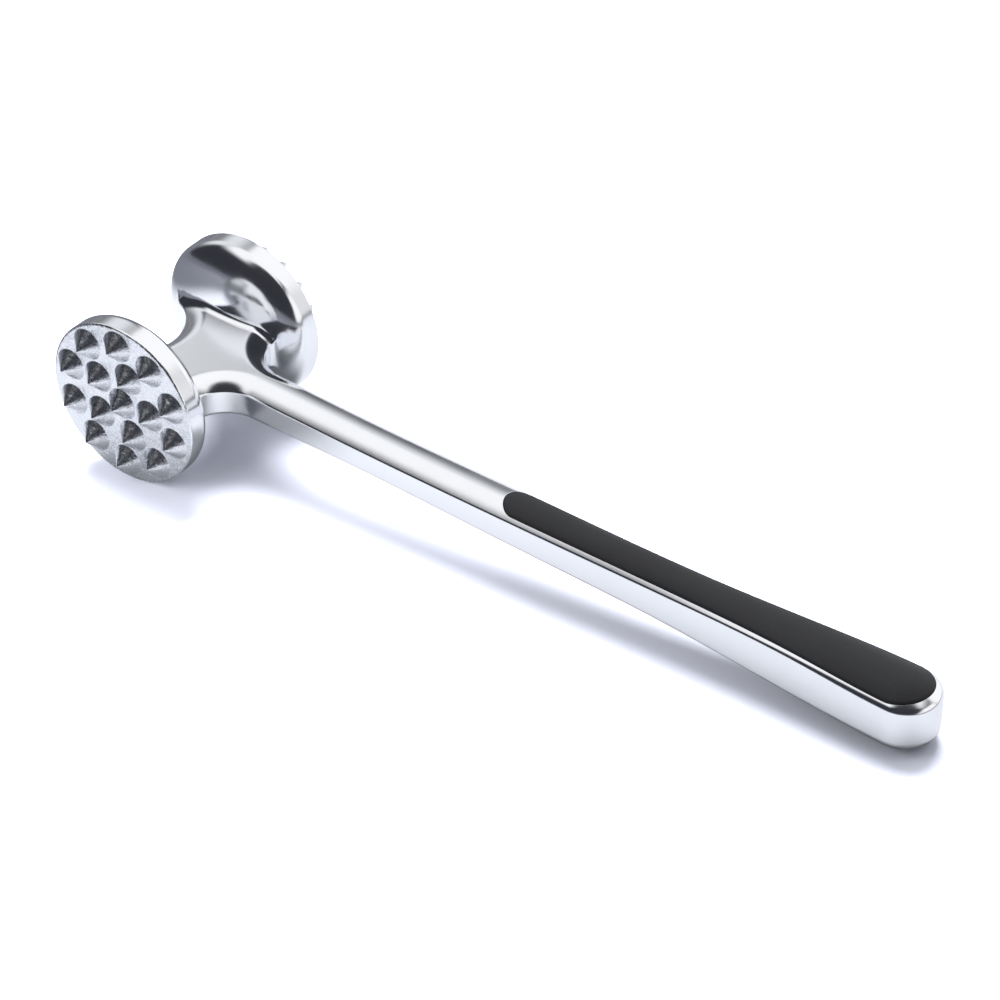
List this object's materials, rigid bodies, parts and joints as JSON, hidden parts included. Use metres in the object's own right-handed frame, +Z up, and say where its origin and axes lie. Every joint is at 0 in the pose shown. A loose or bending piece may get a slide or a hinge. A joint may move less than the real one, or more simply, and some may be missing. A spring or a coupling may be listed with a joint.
{
  "type": "meat mallet",
  "caption": "Double-faced meat mallet: mushroom heads with coarse and fine teeth on a slim polished metal handle with soft black grip inlays.",
  "frame": {"origin": "on the table, straight below the middle of the head, with the mallet lying as it rests: on the rims of both heads and the underside of the butt", "axes": "+X from the head towards the butt, -Y out of the coarse striking face, +Y out of the fine one, +Z up"},
  "size_m": [0.2467, 0.058, 0.045],
  "materials": {
    "polished_chrome": "bright chrome plate on a buffed zinc casting, satin as-cast skin between the teeth",
    "grip_rubber": "matte charcoal black, very fine moulded grain",
    "adhesive_film": "pale double-sided adhesive film"
  },
  "bodies": {
    "root": {"mallet_casting": "polished_chrome", "grip_inlay_top": "grip_rubber", "grip_inlay_underside": "grip_rubber", "bonding_pad_top": "adhesive_film", "bonding_pad_underside": "adhesive_film"}
  },
  "joints": []
}
